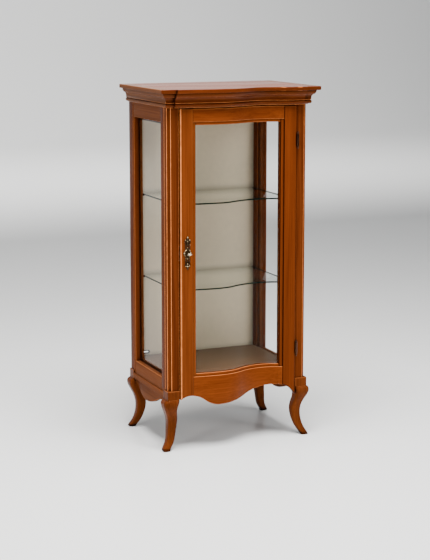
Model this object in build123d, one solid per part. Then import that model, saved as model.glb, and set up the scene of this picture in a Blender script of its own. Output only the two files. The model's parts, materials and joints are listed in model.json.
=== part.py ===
# A serpentine-front display cabinet: a cherry-stained wooden case on cabriole legs, with a glazed door.
# Millimetres. +Z is up, the front faces -Y, and the origin is at the centre of the base of its box.
import os
from math import atan, cos, radians, sin

from build123d import *

os.makedirs("parts", exist_ok=True)

# Overall sizes
height = 1450                  # floor to the top of the cornice
body_width = 606               # over the outer faces of the posts
body_depth = 430               # front faces of the posts to the back
leg_height = 213               # floor to the underside of the plinth blocks
block_height = 36              # plinth block on each leg
block_depth = 51
block_proud = 6
block_chamfer = 2

# Plan curve of the serpentine front, measured forwards from the front faces of the posts
end_forward = 10               # at both edges of the door
bulge_share, bulge_forward = -0.295, 24        # its place as a share of the door's half width
hollow_share, hollow_forward = 0.433, -25

# Posts and side frames
front_post_width = 47
rear_post_width = 42
front_post_depth = 75
rear_post_depth = 58
cove_radius = 12
reed_radius = 1.5              # groove that marks the joint on the side of each post
front_reed = 36                # from the front face to that groove
rear_reed = 43
side_lip = 20                  # wood in front of the side glass
side_thickness = 30
rebate = 9                     # how far the glass runs in behind the wood
side_sill = 292                # floor to the bottom of the side opening
side_head_drop = 132           # top of the cabinet to the top of the side opening
glass_thickness = 4
bead_thickness = 10
bead_width = 20                # part of it shows inside the lip, through the glass
fit = 0.3                      # running room round a pane or a bead

# Cornice and top
cornice_height = 73
cornice_reach = 41
cornice_lap = 4                # the cornice's foot stands this far in front of the door's face
break_inset = 23               # the breakfront stops this far inside the outer faces
slab_height = 16
ovolo_height = 16
ovolo_top, ovolo_foot = 28, 21.5
ovolo_bulge_x, ovolo_bulge_z = 0.66, 0.42      # shares of its reach and height where it swells
cavetto_height = 16
cavetto_top, cavetto_foot = 20, 12
hollow_x_share, hollow_z_share = 0.26, 0.62    # and where the cavetto is hollow
strip_height = 7               # the flat strip between the cavetto and the torus
torus_height = 15
torus_reach, torus_foot = 13.5, 8
fillet_reach = 3
edge_round = 3
mitre_turn = 45                # degrees
top_thickness = 18

# Boards inside the case
floor_top = 299
floor_thickness = 16
ceiling_drop = 120             # top of the cabinet to the underside of the ceiling
ceiling_thickness = 12
back_thickness = 8
rail_thickness = 20
front_rail_back = 50           # behind the post faces, clear of the door's deepest hollow
front_rail_height = 52
rear_rail_height = 70
board_setback = 3              # from the inner face of the door to a board's front edge
corner_block_size = 32
cable_slot_length, cable_slot_height = 26, 10
cable_slot_inset, cable_slot_rise = 25, 14     # from the rear post and from the floor board
grommet_rim, grommet_thickness = 3, 2

# Shelves
shelf_shares = (0.3414, 0.676)                 # tops, as shares of the height from floor to ceiling
shelf_thickness = 6
shelf_setback = 40             # behind the face of the door
shelf_end_gap = 3
shelf_back_gap = 4
pin_radius, pin_reach, pin_depth = 2.5, 12, 10
pin_collar_radius, pin_collar_length = 4, 1.5
pin_hole_play = 0.05
front_pin_inset = 57           # from the front faces of the posts
rear_pin_inset = 32            # from the back

# Side aprons and base mouldings
apron_end, apron_belly = 200, 151      # heights of the shaped lower edge
apron_belly_back = 40          # its lowest point stands this far behind the middle of the case
apron_foot_thickness = 18      # below the plinth blocks' tops
base_strip_height = 25
base_strip_round = 5

# Door
door_gap = 2
door_thickness = 24
door_bottom_gap = 2
door_top_gap = 5               # under the cornice
stile_width = 54
lip_width, lip_step, lip_thickness = 12, 5, 7
door_rebate = 8
joint_step = 0.6               # the rails sit this much behind the stiles
opening_sill = 314             # bottom of the door's opening
head_rail_height = 64          # door's top to its opening
door_edge_round = 7
crest_left_share, crest_left_z = -0.835, 224   # shares of the door's half width, and heights
belly_share, belly_z = -0.354, 180
crest_right_share, crest_right_z = 0.709, 228
scallop_left_z, scallop_right_z = 210, 181     # where the scallop meets the edges of the door

# Cabriole legs: shares of the height, of the widest side, of the splay outwards and of the sweep inwards
leg_side = 63
leg_sections = (
    (1.00, 0.85, 0.02, 0.00), (0.90, 1.00, 0.34, 0.00), (0.78, 0.81, 0.25, 0.18), (0.66, 0.70, -0.04, 0.60),
    (0.52, 0.645, -0.21, 0.95), (0.38, 0.592, -0.13, 1.00), (0.235, 0.54, 0.10, 0.69),
    (0.10, 0.508, 0.565, 0.29), (0.00, 0.487, 1.00, -0.16))
leg_corner_share = 0.26
foot_splay, shank_sweep = 26.2, 22
glide_radius, glide_thickness = 11, 2          # felt glides under the feet

# Lock and key
key_inset = 29                 # keyhole from the edge of the door
lock_share = 0.554             # of the whole height
lock_width, lock_height, lock_depth = 42, 62, 12
lock_wall = 1
lock_play = 0.2
bolt_height, bolt_thickness, bolt_length, bolt_throw = 16, 5, 24, 8
bolt_inset = 0.5               # the drawn-back bolt lies this far inside the edge of the door
bolt_play = 0.4
strike_height, strike_depth, strike_thickness = 46, 11, 1.5
strike_clearance = 2           # behind the thrown bolt
keyhole_radius, keyhole_slot_width, keyhole_slot_length = 3.7, 3.4, 8.4
key_radius, key_play = 2.4, 0.3
key_bow_length, key_bow_depth = 10.5, 7.9      # half lengths of the oval bow
key_bow_wire = 3.6
key_reach = 24                 # from the face of the door to the middle of the bow
key_collar_radius, key_collar_length = 3.6, 3
key_bit_reach, key_bit_thickness = 7, 2

# Escutcheon: each lobe or piercing is its place from the keyhole, half width, half height and tilt
plate_thickness = 1.8
plate_lift = 0.3               # lacquer and air between the plate and the wood
plate_lobes = (
    (0, 0, 14.5, 15, 0), (0, 26, 10.5, 19, 0), (0, -26, 10.5, 19, 0), (0, 46, 13, 7, 0), (0, -44, 12, 6.5, 0),
    (0, 59, 4.6, 9.5, 0), (0, -56, 4.2, 9, 0), (-12.5, 0, 4.8, 7, 0), (12.5, 0, 4.8, 7, 0),
    (-8.5, 53, 3.4, 3.4, 0), (8.5, 53, 3.4, 3.4, 0), (-7.5, -50.5, 3.1, 3.1, 0), (7.5, -50.5, 3.1, 3.1, 0))
plate_piercings = (
    (-4.6, 27, 2.3, 8.5, -12), (4.6, 27, 2.3, 8.5, 12), (-4.6, -27, 2.3, 8.5, 12), (4.6, -27, 2.3, 8.5, -12),
    (-6.4, 45.5, 2.6, 2.2, 0), (6.4, 45.5, 2.6, 2.2, 0), (-6, -44, 2.4, 2.0, 0), (6, -44, 2.4, 2.0, 0))
plate_pin_heights = (28, -28)  # from the keyhole
plate_pin_radius, plate_pin_length = 1.1, 6
plate_pin_head_radius, plate_pin_head_height = 2.1, 1.2

# Hinges
hinge_insets = (166, 137)      # from the top of the legs and from the top of the door
barrel_radius, barrel_length = 4.5, 44
barrel_forward = 5.5           # axis in front of the door's face
finial_length = 14
finial_shape = (
    (0.10, 4.5), (0.17, 2.7), (0.28, 2.5), (0.36, 3.4), (0.52, 3.8), (0.64, 3.2), (0.76, 1.9), (1.0, 0.8))
leaf_thickness, leaf_length = 1.0, 50
leaf_on_post, leaf_on_door = 20, 18            # how far each leaf runs along the wood
hinge_play = 0.3
hinge_pin_radius, hinge_pin_play = 1.8, 0.05
hinge_pin_reach = 16           # into each half of the barrel
screw_radius, screw_length, screw_head_radius = 1.5, 9, 2.6
screw_spacing, screw_inset = 31, 11

# Rubber buffers on the front edges of the floor and the ceiling
bumper_radius, bumper_length, bumper_inset = 4, 2.4, 51

over = 1                       # how far a cut runs past the face that it opens
past = 40                      # how far a shaped cutting blank runs past the wood

# Places worked out from the sizes above
half_width = body_width / 2
overall_depth = body_depth + bulge_forward + cornice_lap + cornice_reach
back = overall_depth / 2
front = back - body_depth                      # the posts' front faces
block_top = leg_height + block_height
board_top = height - top_thickness
cornice_foot = height - cornice_height
cornice_break = half_width - break_inset       # half width of the breakfront
side_head = height - side_head_drop
ceiling_underside = height - ceiling_drop
door_top = cornice_foot - door_top_gap
opening_head = door_top - head_rail_height
shelf_heights = [floor_top + share * (ceiling_underside - floor_top) for share in shelf_shares]
hinge_heights = (leg_height + hinge_insets[0], door_top - hinge_insets[1])
opening_half = half_width - front_post_width   # between the front posts
door_half = opening_half - door_gap
bulge_x, hollow_x = bulge_share * door_half, hollow_share * door_half
stile_x = door_half - stile_width              # where the stiles end and the lip begins
crest_left_x, crest_right_x = crest_left_share * door_half, crest_right_share * door_half
belly_x = belly_share * door_half
full_bottom = min(belly_z, scallop_left_z, scallop_right_z)           # lowest point of the door
bumper_x = opening_half - bumper_inset
lock_x, lock_z = -door_half + key_inset, lock_share * height           # the keyhole
rear_half = half_width - rear_post_width
cable_slot_x = -rear_half + cable_slot_inset
side_inner = half_width - side_thickness
glass_outer = half_width - side_lip            # outer face of the side glass's rebate
bead_x0 = -glass_outer + glass_thickness + 2 * fit
bead_x1 = bead_x0 + bead_thickness
board_half = -bead_x1 - fit                    # the floor and the ceiling end beside the beads
jamb_front = front + front_post_depth          # side opening, front edge
jamb_back = back - rear_post_depth
block_width = front_post_width + block_proud
leg_x = half_width + block_proud - block_width / 2
leg_y = front - block_proud + block_depth / 2
rear_leg_y = back + block_proud - block_depth / 2
block_back = front - block_proud + block_depth
rear_block_front = back + block_proud - block_depth
board_offset = -(door_thickness + board_setback)   # the floor's and the ceiling's edge, from the door's face
apron_belly_y = (front + back) / 2 + apron_belly_back
hinge_x = opening_half - door_gap / 2
face_y = front - end_forward                   # the door's face at its two edges
hinge_y = face_y - barrel_forward
lock_y1 = face_y + door_thickness
lock_y0 = lock_y1 - lock_depth
bolt_y = (lock_y0 + lock_y1) / 2


def block(x0, x1, y0, y1, z0, z1):
    """A box from its two corners."""
    return Pos((x0 + x1) / 2, (y0 + y1) / 2, (z0 + z1) / 2) * Box(abs(x1 - x0), abs(y1 - y0), abs(z1 - z0))


def rod(radius, start, end):
    """A round bar between two points."""
    a, b = Vector(*start), Vector(*end)
    return extrude(Plane(origin=a, z_dir=(b - a).normalized()) * Circle(radius), (b - a).length)


def bend(x0, w0, x1, w1, out=0.0):
    """Two equal arcs that carry an outline from one turning point to the next, set `out` to one side."""
    side = 1 if w1 > w0 else -1
    radius = ((x1 - x0) ** 2 + (w1 - w0) ** 2) / (4 * abs(w1 - w0))
    turn = 2 * atan(abs(w1 - w0) / (x1 - x0))

    def near(t):
        return (x0 + (radius - side * out) * sin(t), w0 + side * radius * (1 - cos(t)) + out * cos(t))

    def far(t):
        return (x1 - (radius + side * out) * sin(t), w1 - side * radius * (1 - cos(t)) + out * cos(t))

    return [(near(0), near(turn / 2), near(turn)), (far(turn), far(turn / 2), far(0))]


def front_arcs(out):
    """The arcs of the serpentine front, `out` in front of the door's face, as points in plan."""
    turning = [(-door_half, end_forward), (bulge_x, bulge_forward), (hollow_x, hollow_forward),
               (door_half, end_forward)]
    arcs = []
    for (x0, w0), (x1, w1) in zip(turning, turning[1:]):
        arcs += bend(x0, w0, x1, w1, out)
    return [[(x, front - w) for x, w in arc] for arc in arcs]


def front_edges(out, reach):
    """The serpentine front as edges, run straight on at both ends as far as `reach`."""
    arcs = front_arcs(out)
    edges = [ThreePointArc(*arc) for arc in arcs]
    start, end = arcs[0][0], arcs[-1][-1]
    if reach > door_half:
        edges = [Line((-reach, start[1]), start)] + edges + [Line(end, (reach, end[1]))]
        start, end = (-reach, start[1]), (reach, end[1])
    return edges, start, end


def band(out, back_out, z0, z1, reach=0.0):
    """A board bent to the serpentine front, between two offsets from the door's face."""
    outer, a, b = front_edges(out, reach)
    inner, c, d = front_edges(back_out, reach)
    face = make_face(outer + [Line(b, d)] + inner + [Line(c, a)])
    return extrude(Pos(0, 0, z0) * face, z1 - z0, dir=(0, 0, 1))


def fronted(out, y_back, z0, z1, reach=0.0):
    """A board with the serpentine front edge and a straight back edge."""
    outer, a, b = front_edges(out, reach)
    face = make_face(outer + [Polyline(b, (b[0], y_back), (a[0], y_back), a)])
    return extrude(Pos(0, 0, z0) * face, z1 - z0, dir=(0, 0, 1))


def mirrored(shape):
    """The same piece on the other side of the case."""
    return mirror(shape, about=Plane.YZ)


def keep(name, shape):
    """Write one sub-part."""
    solids = shape.solids()
    shape = solids[0] if len(solids) == 1 else Compound(children=list(solids))
    shape.label = name
    export_step(shape, f"parts/{name}.step")


# Posts
def post_blank(y0, y1, width):
    """A post on the left side of the case, rebated for the side glass."""
    return block(-half_width, -half_width + width, y0, y1, block_top, board_top)


def reed(y):
    """Groove down the outer side of a post."""
    return rod(reed_radius, (-half_width, y, block_top - over), (-half_width, y, board_top + over))


def glass_rebate(y0, y1):
    """Room for the side glass and its beads, behind the lip of a post or a board."""
    return block(-glass_outer, 0, y0, y1, side_sill - rebate, side_head + rebate)


def pin_holes(y, x_face, z_list):
    """Sockets for the shelf pins, in the inner face of a post."""
    radius = pin_radius + pin_hole_play
    return [rod(radius, (-x_face - pin_depth, y, z), (-x_face + over, y, z)) for z in z_list]


pin_levels = [top - shelf_thickness - pin_radius for top in shelf_heights]
front_pin_y = front + front_pin_inset
rear_pin_y = back - rear_pin_inset

front_post = post_blank(front, jamb_front, front_post_width)
front_post -= rod(cove_radius, (-half_width, front, block_top - over), (-half_width, front, board_top + over))
front_post -= reed(front + front_reed)
front_post -= glass_rebate(jamb_front - rebate, jamb_front + over)
for hole in pin_holes(front_pin_y, opening_half, pin_levels):
    front_post -= hole

rear_post = post_blank(jamb_back, back, rear_post_width)
rear_post -= reed(back - rear_reed)
rear_post -= glass_rebate(jamb_back - over, jamb_back + rebate)
rear_post -= block(-rear_half - rebate, -rear_half + over, back - back_thickness, back + over, 0, height)
for hole in pin_holes(rear_pin_y, rear_half, pin_levels):
    rear_post -= hole

def bolt_room(x0, x1):
    """The space in which the bolt slides, with its play."""
    return block(x0, x1, bolt_y - bolt_thickness / 2 - bolt_play, bolt_y + bolt_thickness / 2 + bolt_play,
                 lock_z - bolt_height / 2 - bolt_play, lock_z + bolt_height / 2 + bolt_play)


def strike_blank(x0, x1, play):
    """The outline of the strike plate, or of its pocket."""
    return block(x0, x1, bolt_y - strike_depth / 2 - play, bolt_y + strike_depth / 2 + play,
                 lock_z - strike_height / 2 - play, lock_z + strike_height / 2 + play)


def hinge_screws(x, way):
    """The countersunk screws of both hinges on one side of the gap, pointing along X."""
    y = front + screw_inset if way > 0 else face_y + screw_inset
    screws = []
    for z in hinge_heights:
        for s in (z - screw_spacing / 2, z + screw_spacing / 2):
            head = Pos(0, 0, leaf_thickness / 2) * Cone(screw_head_radius, screw_radius, leaf_thickness)
            shank = Pos(0, 0, screw_length / 2) * Cylinder(screw_radius, screw_length)
            screws.append(Plane(origin=(x, y, s), z_dir=(way, 0, 0)) * (head + shank))
    return screws


def leaf_flat(x0, x1, y0, y1, z):
    """The flat of one hinge leaf, or the recess that it lies in."""
    return block(x0, x1, y0, y1, z - leaf_length / 2, z + leaf_length / 2)


# The lock's strike and the hinges' leaves are let into the front posts
post_left = front_post - strike_blank(-opening_half - strike_thickness, -opening_half + over, lock_play)
post_left -= bolt_room(-opening_half - bolt_throw - strike_clearance, -opening_half + over)
screws_post = hinge_screws(opening_half, 1)
post_right = mirrored(front_post)
for z in hinge_heights:
    post_right -= leaf_flat(
        opening_half - over, opening_half + leaf_thickness, front - over, front + leaf_on_post, z)
for screw in screws_post:
    post_right -= screw

keep("post_front_left", post_left)
keep("post_front_right", post_right)
keep("post_rear_left", rear_post)
keep("post_rear_right", mirrored(rear_post))


# Cabriole legs, each in one piece with its plinth block
def leg(y_centre, inward):
    """A left leg under a post; inward is 1 for a front leg and -1 for a rear leg."""
    faces = []
    for share, side_share, splay, sweep_share in leg_sections:
        side = side_share * leg_side
        z = glide_thickness + share * (leg_height - glide_thickness)
        place = Pos(-leg_x - splay * foot_splay, y_centre + inward * sweep_share * shank_sweep, z)
        faces.append(place * RectangleRounded(side, side, side * leg_corner_share))
    return loft(faces)


def plinth(y0, y1, post_width):
    """The plinth block on a left leg."""
    cap = block(-half_width - block_proud, -half_width + post_width, y0, y1, leg_height, block_top)
    outer = cap.edges().filter_by(Axis.Z).sort_by(Axis.X)[:2]
    cap = fillet(outer, edge_round)
    top_edges = cap.faces().sort_by(Axis.Z)[-1].edges().filter_by(Axis.Y)
    return chamfer(top_edges.sort_by(Axis.X)[:1], block_chamfer)


front_leg = leg(leg_y, 1) + plinth(front - block_proud, block_back, front_post_width)
rear_leg = leg(rear_leg_y, -1) + plinth(rear_block_front, back + block_proud, rear_post_width)
rear_leg &= block(-2 * half_width, 0, 0, back, 0, block_top)
keep("leg_front_left", front_leg)
keep("leg_front_right", mirrored(front_leg))
keep("leg_rear_left", rear_leg)
keep("leg_rear_right", mirrored(rear_leg))

# Felt glides under the feet
foot_x = leg_x + foot_splay
foot_sweep = leg_sections[-1][-1] * shank_sweep
glides = []
for x in (-foot_x, foot_x):
    for y in (leg_y + foot_sweep, rear_leg_y - foot_sweep):
        glides.append(rod(glide_radius, (x, y, 0), (x, y, glide_thickness)))
keep("foot_glides", Compound(children=glides))


# Cornice
def cornice_profile():
    """The moulding's section: x is its reach from the face it is planted on, y is the height."""
    slab_foot = height - slab_height
    ovolo_bottom = slab_foot - ovolo_height
    cavetto_bottom = ovolo_bottom - cavetto_height
    strip_bottom = cavetto_bottom - strip_height
    torus_bottom = strip_bottom - torus_height
    lines = [
        Polyline((0, cornice_foot), (fillet_reach, cornice_foot), (fillet_reach, torus_bottom),
                 (torus_foot, torus_bottom)),
        ThreePointArc((torus_foot, torus_bottom), (torus_reach, (torus_bottom + strip_bottom) / 2),
                      (torus_foot, strip_bottom)),
        Polyline((torus_foot, strip_bottom), (cavetto_foot, strip_bottom), (cavetto_foot, cavetto_bottom)),
        ThreePointArc((cavetto_foot, cavetto_bottom),
                      (cavetto_foot + hollow_x_share * (cavetto_top - cavetto_foot),
                       cavetto_bottom + hollow_z_share * cavetto_height), (cavetto_top, ovolo_bottom)),
        Line((cavetto_top, ovolo_bottom), (ovolo_foot, ovolo_bottom)),
        ThreePointArc((ovolo_foot, ovolo_bottom),
                      (ovolo_foot + ovolo_bulge_x * (ovolo_top - ovolo_foot),
                       ovolo_bottom + ovolo_bulge_z * ovolo_height), (ovolo_top, slab_foot)),
        Line((ovolo_top, slab_foot), (cornice_reach - edge_round, slab_foot)),
        RadiusArc((cornice_reach - edge_round, slab_foot),
                  (cornice_reach, slab_foot + edge_round), -edge_round),
        Line((cornice_reach, slab_foot + edge_round), (cornice_reach, height - edge_round)),
        RadiusArc((cornice_reach, height - edge_round), (cornice_reach - edge_round, height), -edge_round),
        Line((cornice_reach - edge_round, height), (0, height)),
        Line((0, height), (0, cornice_foot))]
    return make_face(lines)


profile = cornice_profile()
break_y = front - end_forward - cornice_lap
path_edges, _, _ = front_edges(cornice_lap, cornice_break)
path = Wire(path_edges)
start_plane = Plane(origin=(-cornice_break, break_y, 0), x_dir=(0, -1, 0), z_dir=(-1, 0, 0))
cornice_front = sweep(start_plane * profile, path=path)
keep("cornice_front", cornice_front)


def mitre(turn):
    """A big block that cuts one arm of the left corner away along its mitre."""
    size = 4 * cornice_reach
    return Pos(-half_width, front, 0) * Rot(0, 0, turn) * block(0, size, -size, size, 0, height + over)


corner_start = Plane(origin=(-cornice_break, front, 0), x_dir=(0, -1, 0), z_dir=(-1, 0, 0))
corner = extrude(corner_start * profile, half_width - cornice_break + cornice_reach) - mitre(3 * mitre_turn)
side_start = Plane(origin=(-half_width, back, 0), x_dir=(-1, 0, 0), z_dir=(0, 1, 0))
side_run = extrude(side_start * profile, -body_depth - cornice_reach) - mitre(-mitre_turn)
keep("cornice_corner_left", corner)
keep("cornice_corner_right", mirrored(corner))
keep("cornice_side_left", side_run)
keep("cornice_side_right", mirrored(side_run))

# Top board, ceiling and floor
top_board = block(-half_width, half_width, front + front_rail_back, back, board_top, height)
top_board += fronted(cornice_lap, front + front_rail_back, board_top, height, cornice_break)
for x in (-1, 1):
    top_board += block(x * cornice_break, x * half_width, front, front + front_rail_back, board_top, height)
keep("top_board", top_board)


def inner_board(z0, z1):
    """A board across the whole inside of the case, notched round the four posts."""
    middle = block(-board_half, board_half, jamb_front, jamb_back, z0, z1)
    front_part = fronted(board_offset, jamb_front, z0, z1) & block(
        -opening_half, opening_half, front - overall_depth, jamb_front, z0, z1)
    rear_part = block(-rear_half, rear_half, jamb_back, back - back_thickness, z0, z1)
    return middle + front_part + rear_part


keep("floor_board", inner_board(floor_top - floor_thickness, floor_top))
keep("ceiling_board", inner_board(ceiling_underside, ceiling_underside + ceiling_thickness))

# Rails across the front and the back
front_rail_y = front + front_rail_back
top_rail = fronted(cornice_lap, front_rail_y + rail_thickness, cornice_foot, board_top, cornice_break)
for x in (-1, 1):
    top_rail -= block(x * opening_half, x * (cornice_break + over), front, back, 0, height)
keep("front_top_rail", top_rail)
keep("front_bottom_rail", block(-opening_half, opening_half, front_rail_y, front_rail_y + rail_thickness,
                                floor_top - floor_thickness - front_rail_height, floor_top - floor_thickness))
panel_y = back - back_thickness
for name, z0, z1 in (
        ("rear_bottom_rail", floor_top - floor_thickness - rear_rail_height, floor_top - floor_thickness),
        ("rear_top_rail", board_top - rear_rail_height, board_top)):
    keep(name, block(-rear_half, rear_half, panel_y - rail_thickness, panel_y, z0, z1))

# Back panel with its cable slot and grommet
slot_z = floor_top + cable_slot_rise
slot_plane = Plane(origin=(cable_slot_x, back + over, slot_z), x_dir=(1, 0, 0), z_dir=(0, -1, 0))
slot_outline = SlotOverall(cable_slot_length, cable_slot_height)
cable_slot = extrude(slot_plane * slot_outline, back_thickness + 2 * over)
back_panel = block(-rear_half - rebate, rear_half + rebate, panel_y, back, block_top, board_top)
keep("back_panel", back_panel - cable_slot)
rim_plane = Plane(origin=(cable_slot_x, panel_y, slot_z), x_dir=(1, 0, 0), z_dir=(0, -1, 0))
rim = SlotOverall(cable_slot_length + 2 * grommet_rim, cable_slot_height + 2 * grommet_rim)
hole = SlotOverall(cable_slot_length - grommet_rim, cable_slot_height - grommet_rim)
sleeve = SlotOverall(cable_slot_length - fit, cable_slot_height - fit)
grommet = extrude(rim_plane * rim, grommet_thickness) + extrude(rim_plane * sleeve, -back_thickness)
keep("cable_grommet", grommet - extrude(rim_plane * hole, back_thickness + over, both=True))

# Side boards: a rail at the head and a shaped apron board at the foot of each side opening
head = block(-half_width, -side_inner, jamb_front, jamb_back, side_head, board_top)
head -= glass_rebate(jamb_front - over, jamb_back + over)


def apron_edge():
    """Everything under the shaped lower edge of a side board, as a blank to cut with."""
    y0, y1 = block_back, rear_block_front
    arcs = bend(y0, apron_end, apron_belly_y, apron_belly) + bend(apron_belly_y, apron_belly, y1, apron_end)
    edges = [ThreePointArc(*arc) for arc in arcs]
    low = apron_belly - past
    edges.append(Polyline((y1, apron_end), (y1 + past, apron_end), (y1 + past, low),
                          (y0 - past, low), (y0 - past, apron_end), (y0, apron_end)))
    outline = Plane(origin=(-half_width - past, 0, 0), x_dir=(0, 1, 0), z_dir=(1, 0, 0)) * make_face(edges)
    return extrude(outline, 2 * past + side_thickness)


apron = block(-half_width, -side_inner, jamb_front, jamb_back, block_top, side_sill)
apron += block(
    -half_width, -half_width + apron_foot_thickness, block_back, rear_block_front, apron_belly, block_top)
apron -= apron_edge()
apron -= glass_rebate(jamb_front - over, jamb_back + over)
apron -= leg(leg_y, 1)
apron -= leg(rear_leg_y, -1)

strip = block(-half_width - block_proud, -half_width, block_back, rear_block_front, leg_height,
              leg_height + base_strip_height)
strip = fillet(strip.edges().filter_by(Axis.Y).sort_by(Axis.X)[:2], base_strip_round)
for side, put in (("left", lambda s: s), ("right", mirrored)):
    keep(f"side_head_rail_{side}", put(head))
    keep(f"side_apron_{side}", put(apron))
    keep(f"base_moulding_{side}", put(strip))

# Side glass and its beads
pane = block(-glass_outer + fit, -glass_outer + fit + glass_thickness, jamb_front - rebate + fit,
             jamb_back + rebate - fit, side_sill - rebate, side_head + rebate - fit)


def side_beads():
    """Four beads that hold the side glass in its rebate."""
    y0, y1 = jamb_front - rebate, jamb_back + rebate
    z0, z1 = side_sill - rebate, side_head + rebate
    uprights = [block(bead_x0, bead_x1, a, a + bead_width, z0, z1) for a in (y0, y1 - bead_width)]
    cross = [block(bead_x0, bead_x1, y0 + bead_width, y1 - bead_width, a, a + bead_width)
             for a in (z0, z1 - bead_width)]
    return Compound(children=[s.solids()[0] for s in uprights + cross])


beads = side_beads()
for side, put in (("left", lambda s: s), ("right", mirrored)):
    keep(f"side_glass_{side}", put(pane))
    keep(f"side_beads_{side}", put(beads))

# Glass shelves on brass pins
shelf_half = opening_half - shelf_end_gap
for name, top in zip(("shelf_lower", "shelf_upper"), shelf_heights):
    plate = fronted(-shelf_setback, panel_y - shelf_back_gap, top - shelf_thickness, top)
    plate &= block(-shelf_half, shelf_half, front - overall_depth, back, 0, height)
    keep(name, plate)


def shelf_pin(x_face, y, z):
    """A pin pushed into a post, with the collar that stops it at the wood."""
    pin = rod(pin_radius, (-x_face - pin_depth + 1, y, z), (-x_face + pin_reach, y, z))
    return pin + rod(pin_collar_radius, (-x_face, y, z), (-x_face + pin_collar_length, y, z))


pins = []
for z in pin_levels:
    pins.append(shelf_pin(opening_half, front_pin_y, z).solids()[0])
    pins.append(shelf_pin(rear_half, rear_pin_y, z).solids()[0])
left_pins = Compound(children=pins)
keep("shelf_pins_left", left_pins)
keep("shelf_pins_right", mirrored(left_pins))

# Glue blocks under the floor board, in the corners behind the front and rear rails
blocks = []
block_z1 = floor_top - floor_thickness
for x in (-1, 1):
    for y0 in (front_rail_y + rail_thickness, panel_y - rail_thickness - corner_block_size):
        x1 = min(opening_half, rear_half, side_inner)
        blocks.append(block(x * x1, x * (x1 - corner_block_size), y0, y0 + corner_block_size,
                            block_z1 - corner_block_size, block_z1))
keep("corner_blocks", Compound(children=[b.solids()[0] for b in blocks]))


# Door frame
wide_y = (front - front_post_depth, front + front_post_depth)      # more than the door's curve needs


def scallop_cut():
    """Everything under the door's scalloped lower edge."""
    left = (-door_half, scallop_left_z)
    right = (door_half, scallop_right_z)
    crest_left, crest_right = (crest_left_x, crest_left_z), (crest_right_x, crest_right_z)

    def quarter(end, crest):
        """One arc from a corner of the door up to a crest, level where it meets the crest."""
        dx, dz = crest[0] - end[0], crest[1] - end[1]
        radius = (dx * dx + dz * dz) / (2 * dz)
        turn = atan(abs(dx) / (radius - dz)) / 2
        step = radius * sin(turn) * (1 if dx > 0 else -1)
        return ThreePointArc(end, (crest[0] - step, crest[1] - radius * (1 - cos(turn))), crest)

    edges = [quarter(left, crest_left)]
    for (x0, z0), (x1, z1) in ((crest_left, (belly_x, belly_z)), ((belly_x, belly_z), crest_right)):
        edges += [ThreePointArc(*arc) for arc in bend(x0, z0, x1, z1)]
    edges.append(quarter(right, crest_right))
    low = full_bottom - past
    edges.append(Polyline(right, (door_half + past, scallop_right_z), (door_half + past, low),
                          (-door_half - past, low), (-door_half - past, scallop_left_z), left))
    outline = Plane(origin=(0, wide_y[1], 0), x_dir=(1, 0, 0), z_dir=(0, -1, 0)) * make_face(edges)
    return extrude(outline, wide_y[1] - wide_y[0])


lip_x = stile_x - lip_width                    # edge of the door's glass
lip_bottom, lip_top = opening_sill - lip_width, opening_head + lip_width
stile_blank = band(0, -door_thickness, full_bottom, door_top)
edges_up = stile_blank.edges().filter_by(Axis.Z)
front_corners = [edges_up.filter_by(lambda e: abs(e.center().X - x) < fit).sort_by(Axis.Y)[0]
                 for x in (-door_half, door_half)]
stile_blank = fillet(front_corners, door_edge_round)
scallop = scallop_cut()
lip_band = band(-lip_step, -door_thickness, lip_bottom, lip_top)
rebate_x = lip_x + door_rebate
rebate_band = band(-lip_step - lip_thickness, -door_thickness - over, opening_sill - door_rebate,
                   opening_head + door_rebate) & block(-rebate_x, rebate_x, *wide_y, 0, height)


def stile(side):
    """Stile with its stepped lip and the rebate for the glass; side is -1 for left and 1 for right."""
    body = stile_blank & block(side * stile_x, side * (door_half + over), *wide_y, 0, height)
    lip = lip_band & block(side * lip_x, side * stile_x, *wide_y, 0, height)
    return body + lip - rebate_band - scallop


rail_blank = band(-joint_step, -door_thickness, full_bottom, door_top)


def door_rail(z0, z1, lip_z0, lip_z1):
    """Rail between the stiles, with its own stepped lip."""
    body = rail_blank & block(-stile_x, stile_x, *wide_y, z0, z1)
    lip = lip_band & block(-lip_x, lip_x, *wide_y, lip_z0, lip_z1)
    return body + lip - rebate_band - scallop


# The lock's mortise and the keyhole in the left stile, and the leaves let into the right one
def keyhole(radius, width):
    """The keyhole's outline: a round hole with a slot below it."""
    return Circle(radius) + Pos(0, -keyhole_slot_length / 2) * Rectangle(width, keyhole_slot_length)


keyhole_plane = Plane(origin=(lock_x, lock_y0 + lock_wall, lock_z), x_dir=(1, 0, 0), z_dir=(0, -1, 0))
lock_x0, lock_x1 = -door_half, -door_half + lock_width
lock_bottom, lock_top = lock_z - lock_height / 2, lock_z + lock_height / 2
stile_left = stile(-1)
stile_left -= block(lock_x0 - over, lock_x1 + lock_play, lock_y0, lock_y1 + over,
                    lock_bottom - lock_play, lock_top + lock_play)
stile_left -= extrude(keyhole_plane * keyhole(keyhole_radius, keyhole_slot_width), past)


def plate_pin_rods(radius, y0, y1):
    """Straight rods at the escutcheon's two pins."""
    return [rod(radius, (lock_x, y0, lock_z + z), (lock_x, y1, lock_z + z)) for z in plate_pin_heights]


for pin in plate_pin_rods(plate_pin_radius, face_y - past, face_y + plate_pin_length):
    stile_left -= pin
keep("door_stile_left", stile_left)

screws_door = hinge_screws(door_half, -1)
stile_right = stile(1)
for z in hinge_heights:
    stile_right -= leaf_flat(
        door_half - leaf_thickness, door_half + over, face_y - over, face_y + leaf_on_door, z)
for screw in screws_door:
    stile_right -= screw
keep("door_stile_right", stile_right)
keep("door_top_rail", door_rail(lip_top, door_top, opening_head, lip_top))
keep("door_bottom_rail", door_rail(full_bottom, lip_bottom, lip_bottom, opening_sill))

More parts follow.
